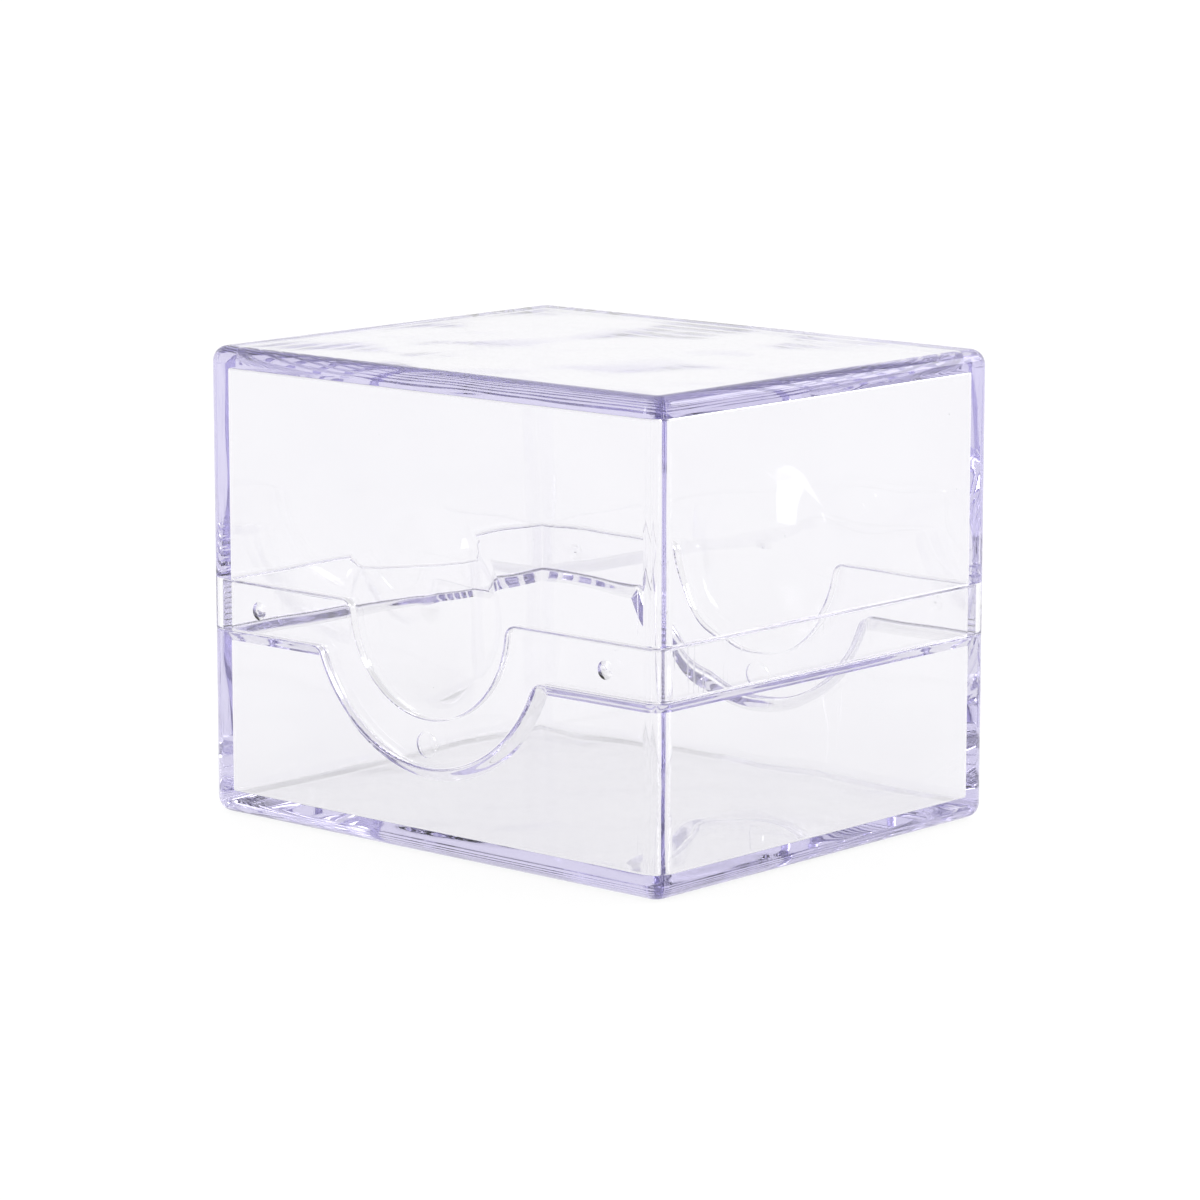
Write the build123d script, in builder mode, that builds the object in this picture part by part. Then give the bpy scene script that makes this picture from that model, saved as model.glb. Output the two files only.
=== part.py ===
"""Clear deck case for trading cards: a base tray, a neck ring bonded in its mouth, and a lift-off lid.

Millimetres. The origin is the centre of the underside and +Z is up. The wide walls, with the
finger scoops, look along -Y and +Y. The lid is modelled where it sits on the closed case.
"""

import math
import os

from build123d import *

# Closed case
case_length = 99.0  # along X, across the wide walls
case_width = 82.5  # along Y
case_height = 78.0
corner_radius = 3.2  # upright outer corners
edge_radius = 2.6  # outer edges round the top and round the underside

# Walls
wall = 3.5
floor_thickness = 3.6
top_thickness = 3.6
cavity_corner_radius = 0.6
cavity_edge_radius = 0.4  # where the walls meet the floor and the ceiling

# Lap joint: the neck ring stands inside the lid's skirt
seam_height = 31.0  # ledge that the skirt rests on
seam_edge_radius = 0.25  # outer edges along the seam
neck_height = 8.2  # neck above the ledge
neck_edge_radius = 0.3
skirt_wall = 1.2
skirt_clearance = 0.15  # skirt to neck, and tongue to apron
neck_clearance = 0.3  # top of the neck to the step inside the lid

# Bonded joint: the neck ring's foot stands on what the tray's inside chamfer leaves of the ledge
mouth_chamfer = 1.85  # 45 degrees, round the inside of the tray's mouth and its openings
bond_gap = 0.05  # apron to opening

# Half-round finger scoop through each wide wall of the neck, and the lid's plug that fills it
scoop_radius = 17.3
scoop_lip_radius = 2.0
plug_clearance = 0.25

# Half-round opening under the seam in each wide wall of the tray, with the neck's apron inside it
# and the lid's tongue over the apron
tongue_band = 7.8  # scoop's edge to opening's edge
opening_lip_radius = 2.1
tongue_clearance = 0.2
mark_radius = 2.1  # round ejector mark on the inside of each tongue
mark_depth = 0.3

# Finger dish in each wide wall of the lid, and the soft lip round it
dish_radius = 17.4
dish_depth = 1.4
dish_lip_radius = 16.0
dish_rise = 0.8  # dish's centre above the top of the neck

# Pips on the neck, and the dimples inside the skirt that they click into
pip_radius = 1.4
pip_height = 0.1
pip_offset = 38.0  # from the middle of each wide wall
pip_drop = 4.2  # below the top of the neck
dimple_radius = 1.5
dimple_depth = 0.4
dome_root = 0.5  # of a pip or a dimple, past the face it is on

# Sizes that follow
cavity_length = case_length - 2 * wall
cavity_width = case_width - 2 * wall
ceiling_height = case_height - top_thickness
neck_top = seam_height + neck_height
neck_inset = skirt_wall + skirt_clearance
step_height = neck_top + neck_clearance
opening_radius = scoop_radius + tongue_band
FRONT = -1
BACK = 1


def wide_wall(side, inset=0.0):
    """Plane on a wide wall, facing out, with its own Y upward, set in from the outer face."""
    return Plane(
        origin=(0, side * (case_width / 2 - inset), 0), x_dir=(-side, 0, 0), z_dir=(0, side, 0)
    )


def through_wall(side, x, height, inset, inward):
    """Plane for a turned profile: its own X runs along the wall and its own Y in or out of it."""
    return Plane(
        origin=(x, side * (case_width / 2 - inset), height),
        x_dir=(1, 0, 0),
        z_dir=(0, 0, -side if inward else side),
    )


def half_round_sketch(plane, line_height, radius, lip_radius):
    """A half-round, centred at the neck's top, that hangs from a straight line with rounded lips."""
    band_width = 2 * (radius + 2 * lip_radius)
    band_height = neck_top + lip_radius - line_height
    with BuildSketch(plane) as outline:
        with Locations((0, line_height)):
            Rectangle(band_width, band_height, align=(Align.CENTER, Align.MIN))
        with Locations((0, neck_top)):
            Circle(radius)
        on_line = outline.vertices().filter_by(lambda v: abs(v.Y - line_height) < lip_radius / 10)
        lips = on_line.filter_by(lambda v: abs(v.X) < radius + lip_radius / 2)
        fillet(lips, lip_radius)
    return outline.sketch


def dome_sketch(plane, radius, height):
    """Half of a low dome's section, to be turned about the plane's own Y."""
    dome_radius = (radius**2 + height**2) / (2 * height)
    dome_start = math.degrees(math.acos(radius / dome_radius))
    with BuildSketch(plane) as outline:
        with BuildLine():
            CenterArc((0, height - dome_radius), dome_radius, dome_start, 90 - dome_start)
            Polyline((0, height), (0, -dome_root), (radius, -dome_root), (radius, 0))
        make_face()
    return outline.sketch


def inner_rim_edges(shape, above):
    """Edges of the cavity's walls above a height, without the upright ones in its corners."""
    slack = cavity_corner_radius / 10

    def on_rim(edge):
        box = edge.bounding_box()
        inside = box.max.X < cavity_length / 2 + slack and box.max.Y < cavity_width / 2 + slack
        inside = inside and box.min.X > -cavity_length / 2 - slack and box.min.Y > -cavity_width / 2 - slack
        upright = box.size.X < slack and box.size.Y < slack
        return inside and not upright and box.min.Z > above

    return shape.edges().filter_by(on_rim)


def outer_seam_edges(shape, below):
    """Edges of the outer faces that run along the seam, from one side of it."""
    slack = corner_radius / 100

    def on_seam(edge):
        box = edge.bounding_box()
        far_x = max(abs(box.max.X), abs(box.min.X)) > case_length / 2 - slack
        far_y = min(abs(box.max.Y), abs(box.min.Y)) > case_width / 2 - slack
        corner = edge.geom_type == GeomType.CIRCLE and box.size.Z < slack
        upright = box.size.X < slack and box.size.Y < slack
        outer = far_x or far_y or (corner and edge.radius > corner_radius - slack)
        return outer and not upright and box.max.Z < seam_height + slack and box.min.Z > below

    return shape.edges().filter_by(on_seam)


def tray_shell(gap):
    """The tray's floor and walls, with its two half-round openings made smaller by a gap."""
    with BuildPart() as shell:
        with BuildSketch():
            RectangleRounded(case_length, case_width, corner_radius)
        extrude(amount=seam_height)
        with BuildSketch(Plane.XY.offset(floor_thickness)):
            RectangleRounded(cavity_length, cavity_width, cavity_corner_radius)
        extrude(amount=seam_height - floor_thickness, mode=Mode.SUBTRACT)
        for side in (FRONT, BACK):
            opening = half_round_sketch(
                wide_wall(side), seam_height, opening_radius - gap, opening_lip_radius + gap
            )
            extrude(opening, amount=-wall, mode=Mode.SUBTRACT)
    return shell.part


# Base tray: floor and four walls, chamfered round the inside of the mouth
tray_blank = tray_shell(0)
with BuildPart() as base_tray:
    add(tray_blank)
    chamfer(inner_rim_edges(base_tray, floor_thickness + mouth_chamfer), mouth_chamfer)
    fillet(base_tray.faces().sort_by(Axis.Z)[0].edges(), edge_radius)
    cavity_floor = base_tray.faces().filter_by(Plane.XY).sort_by(Axis.Z)[1]
    fillet(cavity_floor.edges(), cavity_edge_radius)
    fillet(outer_seam_edges(base_tray, floor_thickness), seam_edge_radius)
base_tray.part.label = "base_tray"

# Neck ring: stands inside the lid's skirt, with an apron in each of the tray's openings
ring_seat = tray_shell(bond_gap)
with BuildPart() as neck_ring:
    with BuildSketch(Plane.XY.offset(2 * floor_thickness)):
        RectangleRounded(
            case_length - 2 * neck_inset, case_width - 2 * neck_inset, corner_radius - neck_inset
        )
        RectangleRounded(cavity_length, cavity_width, cavity_corner_radius, mode=Mode.SUBTRACT)
    extrude(amount=neck_top - 2 * floor_thickness)
    add(ring_seat, mode=Mode.SUBTRACT)
    neck_land = neck_ring.faces().filter_by(Plane.XY).sort_by(Axis.Z)[-1]
    fillet(neck_land.edges(), neck_edge_radius)

    for side in (FRONT, BACK):
        # Finger scoop, through the wall
        scoop = half_round_sketch(wide_wall(side), neck_top, scoop_radius, scoop_lip_radius)
        extrude(scoop, amount=-wall, mode=Mode.SUBTRACT)

        # Low domed pips near the ends of the neck
        for x in (-pip_offset, pip_offset):
            pip_plane = through_wall(side, x, neck_top - pip_drop, neck_inset, inward=False)
            pip = dome_sketch(pip_plane, pip_radius, pip_height)
            revolve(pip, axis=Axis(pip_plane.origin, pip_plane.y_dir), revolution_arc=360)
neck_ring.part.label = "neck_ring"

# Lid: top, four walls, the thin skirt round the neck, and a tongue and a plug on each wide wall
with BuildPart() as lid:
    with BuildSketch(Plane.XY.offset(seam_height)):
        RectangleRounded(case_length, case_width, corner_radius)
    extrude(amount=case_height - seam_height)
    fillet(lid.faces().sort_by(Axis.Z)[-1].edges(), edge_radius)

    # Card cavity, rounded at its ceiling, and the wider rebate that takes the neck
    with BuildSketch(Plane.XY.offset(seam_height)):
        RectangleRounded(cavity_length, cavity_width, cavity_corner_radius)
    extrude(amount=ceiling_height - seam_height, mode=Mode.SUBTRACT)
    ceiling = lid.faces().filter_by(Plane.XY).sort_by(Axis.Z)[-2]
    fillet(ceiling.edges(), cavity_edge_radius)
    with BuildSketch(Plane.XY.offset(seam_height)):
        RectangleRounded(
            case_length - 2 * skirt_wall, case_width - 2 * skirt_wall, corner_radius - skirt_wall
        )
    extrude(amount=step_height - seam_height, mode=Mode.SUBTRACT)

    for side in (FRONT, BACK):
        # Plug: the wall at its full thickness, carried down into the finger scoop
        plug = half_round_sketch(
            wide_wall(side),
            step_height,
            scoop_radius - plug_clearance,
            scoop_lip_radius + plug_clearance,
        )
        extrude(plug, amount=-wall)

        # Tongue: the skirt carried down over the apron
        tongue = half_round_sketch(
            wide_wall(side),
            seam_height,
            opening_radius - tongue_clearance,
            opening_lip_radius + tongue_clearance,
        )
        extrude(tongue, amount=-skirt_wall)

    # Outer edges along the seam, and an ejector mark inside each tongue
    fillet(outer_seam_edges(lid, 0), seam_edge_radius)
    for side in (FRONT, BACK):
        with BuildSketch(wide_wall(side, skirt_wall)):
            with Locations((0, neck_top - scoop_radius - tongue_band / 2)):
                Circle(mark_radius)
        extrude(amount=mark_depth, mode=Mode.SUBTRACT)

        # Dimples inside the skirt for the pips
        for x in (-pip_offset, pip_offset):
            dimple_plane = through_wall(side, x, neck_top - pip_drop, skirt_wall, inward=False)
            dimple = dome_sketch(dimple_plane, dimple_radius, dimple_depth)
            dimple_axis = Axis(dimple_plane.origin, dimple_plane.y_dir)
            revolve(dimple, axis=dimple_axis, revolution_arc=360, mode=Mode.SUBTRACT)

        # Finger dish: a shallow spherical bowl that meets the wall in a soft lip
        arcs_radius = (dish_radius**2 + dish_depth**2) / (2 * dish_depth)
        bowl_radius = arcs_radius - dish_lip_radius
        bowl_angle = math.degrees(math.asin(dish_radius / arcs_radius))
        dish_plane = through_wall(side, 0, neck_top + dish_rise, 0, inward=True)
        with BuildSketch(dish_plane):
            with BuildLine():
                CenterArc((0, dish_depth - bowl_radius), bowl_radius, 90 - bowl_angle, bowl_angle)
                CenterArc((dish_radius, dish_lip_radius), dish_lip_radius, 270 - bowl_angle, bowl_angle)
                Polyline((dish_radius, 0), (0, 0), (0, dish_depth))
            make_face()
        revolve(
            axis=Axis(dish_plane.origin, dish_plane.y_dir), revolution_arc=360, mode=Mode.SUBTRACT
        )
lid.part.label = "lid"

os.makedirs("parts", exist_ok=True)
export_step(base_tray.part, "parts/base_tray.step")
export_step(neck_ring.part, "parts/neck_ring.step")
export_step(lid.part, "parts/lid.step")
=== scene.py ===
import math

import bpy
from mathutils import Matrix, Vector


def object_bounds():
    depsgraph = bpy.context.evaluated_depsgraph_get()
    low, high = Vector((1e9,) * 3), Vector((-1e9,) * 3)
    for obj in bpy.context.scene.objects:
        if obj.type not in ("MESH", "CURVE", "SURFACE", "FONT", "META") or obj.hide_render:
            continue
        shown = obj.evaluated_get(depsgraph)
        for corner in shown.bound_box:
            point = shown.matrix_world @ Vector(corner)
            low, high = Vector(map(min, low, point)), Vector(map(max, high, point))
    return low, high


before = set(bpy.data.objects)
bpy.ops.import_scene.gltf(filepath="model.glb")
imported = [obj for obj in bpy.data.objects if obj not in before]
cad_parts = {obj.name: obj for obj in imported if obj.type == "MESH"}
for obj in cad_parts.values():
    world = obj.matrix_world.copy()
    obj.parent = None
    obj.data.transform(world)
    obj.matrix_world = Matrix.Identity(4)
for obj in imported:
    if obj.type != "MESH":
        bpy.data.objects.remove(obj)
cad_low, cad_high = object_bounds()


# Camera. The case is seen from its right-hand front corner through a long lens, which looks a
# little down on it, so that its top and the ring between tray and lid both show.

view_azimuth = math.radians(41.93)
view_elevation = math.radians(10.09)
distance_in_heights = 9.96
sideways_in_heights = 0.0047
lowered_in_heights = 0.0376
sensor_width = 36
lens_length = 141.54

case_height = cad_high.z - cad_low.z
backward = Vector((
    math.sin(view_azimuth) * math.cos(view_elevation),
    -math.cos(view_azimuth) * math.cos(view_elevation),
    math.sin(view_elevation),
))
rightward = Vector((math.cos(view_azimuth), math.sin(view_azimuth), 0))
upward = backward.cross(rightward)
camera_lens = bpy.data.cameras.new("camera")
camera_lens.sensor_width = sensor_width
camera_lens.lens = lens_length
camera = bpy.data.objects.new("camera", camera_lens)
bpy.context.scene.collection.objects.link(camera)
camera.location = Vector((0, 0, case_height / 2)) + case_height * (
    distance_in_heights * backward + sideways_in_heights * rightward - lowered_in_heights * upward
)
camera.rotation_euler = (-backward).to_track_quat("-Z", "Y").to_euler()
bpy.context.scene.camera = camera


# Studio floor. A sheet of thin paper lit from behind: it glows white and sends back little of the
# light that falls on it, so a clear case casts almost no shadow. It is only the stage.

floor_side = 12
floor_gap = 0.0002
paper_colour = (0.16, 0.16, 0.16, 1)
paper_roughness = 0.9
paper_glow = 0.86

bpy.ops.object.select_all(action="DESELECT")
bpy.ops.mesh.primitive_plane_add(size=floor_side, location=(0, 0, cad_low.z - floor_gap))
studio_floor = bpy.context.object
studio_floor.name = "studio_floor"
bpy.ops.object.transform_apply(location=True)
lit_paper = bpy.data.materials.new("lit_paper")
lit_paper.use_nodes = True
paper_shader = lit_paper.node_tree.nodes["Principled BSDF"]
paper_shader.inputs["Base Color"].default_value = paper_colour
paper_shader.inputs["Roughness"].default_value = paper_roughness
paper_shader.inputs["Emission Color"].default_value = (1, 1, 1, 1)
paper_shader.inputs["Emission Strength"].default_value = paper_glow
studio_floor.data.materials.append(lit_paper)


# Studio light. An even white surround, a little greyer overhead, and two soft boxes that put a
# bright arc in the finger dishes and a glint on the edges. Clear walls need many bounces.


class Wire:
    """One output of a shader node. A sum written on it adds the nodes that work it out."""

    def __init__(self, tree, socket=None):
        self.tree = tree
        self.socket = socket

    def node(self, kind, settings={}, sockets={}, output=0):
        """Adds a node: its settings first, then the values or links of its sockets."""
        made = self.tree.nodes.new("ShaderNode" + kind)
        for name, setting in settings.items():
            setattr(made, name, setting)
        for name, value in sockets.items():
            if isinstance(value, Wire):
                self.tree.links.new(value.socket, made.inputs[name])
            else:
                made.inputs[name].default_value = value
        return Wire(self.tree, made.outputs[output])

    def feed(self, node, socket):
        """Links this output to a socket of a node that is there already, such as the shader."""
        self.tree.links.new(self.socket, node.inputs[socket])

    def math(self, operation, *values):
        """Adds a Math node that works on the values, numbers or outputs, in their order."""
        return self.node("Math", {"operation": operation}, dict(enumerate(values)))

    def __add__(self, other):
        return self.math("ADD", self, other)

    def __radd__(self, other):
        return self.math("ADD", other, self)

    def __sub__(self, other):
        return self.math("SUBTRACT", self, other)

    def __rsub__(self, other):
        return self.math("SUBTRACT", other, self)

    def __mul__(self, other):
        return self.math("MULTIPLY", self, other)

    def __rmul__(self, other):
        return self.math("MULTIPLY", other, self)

    def __abs__(self):
        return self.math("ABSOLUTE", self)

    def ramp(self, start, end, low=0.0, high=1.0):
        """Eases from low to high while this value goes from start to end."""
        sockets = {"Value": self, "From Min": start, "From Max": end, "To Min": low, "To Max": high}
        return self.node("MapRange", {"interpolation_type": "SMOOTHSTEP"}, sockets)

    def colour_between(self, colour_at_0, colour_at_1):
        """Goes from one colour to the other while this value goes from 0 to 1."""
        factor, first_colour, second_colour, mixed_colour = 0, 6, 7, 2
        sockets = {factor: self, first_colour: colour_at_0, second_colour: colour_at_1}
        return self.node("Mix", {"data_type": "RGBA"}, sockets, output=mixed_colour)


brightest_up_to = math.sin(math.radians(24))
greyest_from = math.sin(math.radians(60))
overhead_brightness = 0.84
soft_box_distance = 1.0
most_bounces = 96

surround = bpy.data.worlds.new("surround")
surround.use_nodes = True
bpy.context.scene.world = surround
sky = Wire(surround.node_tree)
direction = sky.node("TexCoord", output="Generated")
rise = sky.node("SeparateXYZ", sockets={"Vector": direction}, output="Z")
brightness = rise.ramp(brightest_up_to, greyest_from, 1.0, overhead_brightness)
sky_shader = surround.node_tree.nodes["Background"]
sky_shader.inputs["Color"].default_value = (1, 1, 1, 1)
brightness.feed(sky_shader, "Strength")

for box_name, azimuth, elevation, radiance, width, height in (
    ("front_soft_box", -118, 14, 3.6, 0.22, 0.5),
    ("side_soft_box", 62, 30, 3.2, 0.3, 0.4),
):
    box_light = bpy.data.lights.new(box_name, "AREA")
    box_light.shape = "RECTANGLE"
    box_light.size = width
    box_light.size_y = height
    box_light.energy = radiance * math.pi * width * height
    soft_box = bpy.data.objects.new(box_name, box_light)
    bpy.context.scene.collection.objects.link(soft_box)
    azimuth = math.radians(azimuth)
    elevation = math.radians(elevation)
    towards_box = Vector((
        math.cos(azimuth) * math.cos(elevation),
        math.sin(azimuth) * math.cos(elevation),
        math.sin(elevation),
    ))
    soft_box.location = soft_box_distance * towards_box + Vector((0, 0, case_height / 2))
    soft_box.rotation_euler = towards_box.to_track_quat("Z", "Y").to_euler()

bpy.context.scene.view_settings.view_transform = "Standard"
bpy.context.scene.cycles.max_bounces = most_bounces
bpy.context.scene.cycles.transmission_bounces = most_bounces
bpy.context.scene.cycles.glossy_bounces = most_bounces


# Base tray. The lower half of the case: a floor and four thick walls, injection moulded in one shot
# of clear polystyrene. Its polished cavity side is the outside; the core side has shrunk a little
# unevenly, so what is seen through it wavers.


def depth_in_wall(tree, place):
    """How far a point of the surface lies in from the nearest outer face of the case."""
    across, along, rise = (
        tree.node("SeparateXYZ", sockets={"Vector": place}, output=axis) for axis in "XYZ"
    )
    side_depth = tree.math("MINIMUM", cad_high.x - abs(across), cad_high.y - abs(along))
    end_depth = tree.math("MINIMUM", cad_high.z - rise, rise - cad_low.z)
    return tree.math("MINIMUM", side_depth, end_depth)


def hairlines(tree, place, turn, spacing, length, share):
    """Fine rub marks that run straight up and down, more of them the larger the share.

    The turn comes after the stretch, so it doesn't tilt them: it gives each piece marks of its own.
    """
    soft_edge = 0.06
    laid = tree.node(
        "Mapping",
        sockets={"Vector": place, "Rotation": turn, "Scale": (1 / spacing, 1 / spacing, 1 / length)},
    )
    grain = tree.node("TexNoise", sockets={"Vector": laid, "Scale": 1.0, "Detail": 0.0})
    return grain.ramp(1 - share, 1 - share + soft_edge)


def clear_polystyrene(name, tint_clear, tint_cloudy, wander, rub_turn, rub_share):
    """Clear polystyrene with a faint lavender cast, shrink waves, rub marks and a few specks."""
    refractive_index = 1.585
    edge_tint = (0.375, 0.292, 0.758, 1)
    edge_density = 6.0
    shrink_wave = 0.0003
    wave_length = 0.024
    clear_below = 0.3
    cloudy_above = 0.7
    core_side_from = 0.0018
    core_side_to = 0.0032
    speck_grey = (0.55, 0.54, 0.6, 1)
    speck_spacing = 0.011
    speck_radius = 0.00013
    solid_share = 0.6
    speck_roughness = 0.4
    rub_spacing = 0.00045
    rub_length = 0.016
    rub_depth = 0.0000012
    rub_roughness = 0.08

    finish = bpy.data.materials.new(name)
    finish.use_nodes = True
    tree = Wire(finish.node_tree)
    shader = finish.node_tree.nodes["Principled BSDF"]
    place = tree.node("TexCoord", output="Object")
    drifted = tree.node("VectorMath", {"operation": "ADD"}, {0: place, 1: wander})

    # Shrink waves on the core side, and a tint that drifts with them
    wave = tree.node("TexNoise", sockets={"Vector": drifted, "Scale": 1 / wave_length, "Detail": 1.0})
    core = depth_in_wall(tree, place).ramp(core_side_from, core_side_to)
    tint = wave.ramp(clear_below, cloudy_above).colour_between(tint_clear, tint_cloudy)

    # A few specks of dust, solid in the middle and fading at the edge
    speck_edge = speck_radius / speck_spacing
    speck_distance = tree.node("TexVoronoi", sockets={"Vector": drifted, "Scale": 1 / speck_spacing})
    speck = speck_distance.ramp(speck_edge, solid_share * speck_edge)
    colour = speck.colour_between(tint, speck_grey)

    # Rub marks, a little matt and hardly deep enough to feel
    rub = hairlines(tree, drifted, rub_turn, rub_spacing, rub_length, rub_share)
    relief = wave * core * shrink_wave - rub * rub_depth
    bump = tree.node("Bump", sockets={"Strength": 1.0, "Distance": 1.0, "Height": relief})
    colour.feed(shader, "Base Color")
    (speck * speck_roughness + rub * rub_roughness).feed(shader, "Roughness")
    bump.feed(shader, "Normal")
    shader.inputs["IOR"].default_value = refractive_index
    shader.inputs["Transmission Weight"].default_value = 1

    # What a long way through the plastic, as along an edge, takes out of the light
    absorption = tree.node("VolumeAbsorption", sockets={"Color": edge_tint, "Density": edge_density})
    absorption.feed(finish.node_tree.nodes["Material Output"], "Volume")
    return finish


def give_finish(node_name, finish):
    """Puts a finish on a CAD node, in the material slot of the record that it stands for."""
    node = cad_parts[node_name]
    for material_slot in node.material_slots:
        material_slot.material = finish


tray_finish = clear_polystyrene(
    "clear_tray_polystyrene",
    tint_clear=(0.951, 0.949, 0.956, 1),
    tint_cloudy=(0.939, 0.936, 0.946, 1),
    wander=(0.31, 0.07, 0.13),
    rub_turn=(0.5, 1.2, 0),
    rub_share=0.22,
)
give_finish("base_tray", tray_finish)


# Neck ring. A thin collar of the same clear polystyrene, moulded apart and bonded on the ledge in
# the tray's mouth. The lid's skirt slides over it, which leaves upright rub marks round it.

ring_finish = clear_polystyrene(
    "clear_ring_polystyrene",
    tint_clear=(1.0, 1.0, 1.0, 1),
    tint_cloudy=(0.992, 0.99, 0.996, 1),
    wander=(0.05, 0.29, 0.41),
    rub_turn=(0, 0, 0),
    rub_share=0.3,
)
give_finish("neck_ring", ring_finish)


# Lid. The upper half, moulded in one shot like the tray: a flat top, four walls with a thin skirt
# under them, a tongue and a plug below each wide wall, and a finger dish in it. It lifts off.

lid_finish = clear_polystyrene(
    "clear_lid_polystyrene",
    tint_clear=(0.951, 0.949, 0.956, 1),
    tint_cloudy=(0.939, 0.936, 0.946, 1),
    wander=(0.17, 0.23, 0.02),
    rub_turn=(1.3, 0, 0.6),
    rub_share=0.22,
)
give_finish("lid", lid_finish)
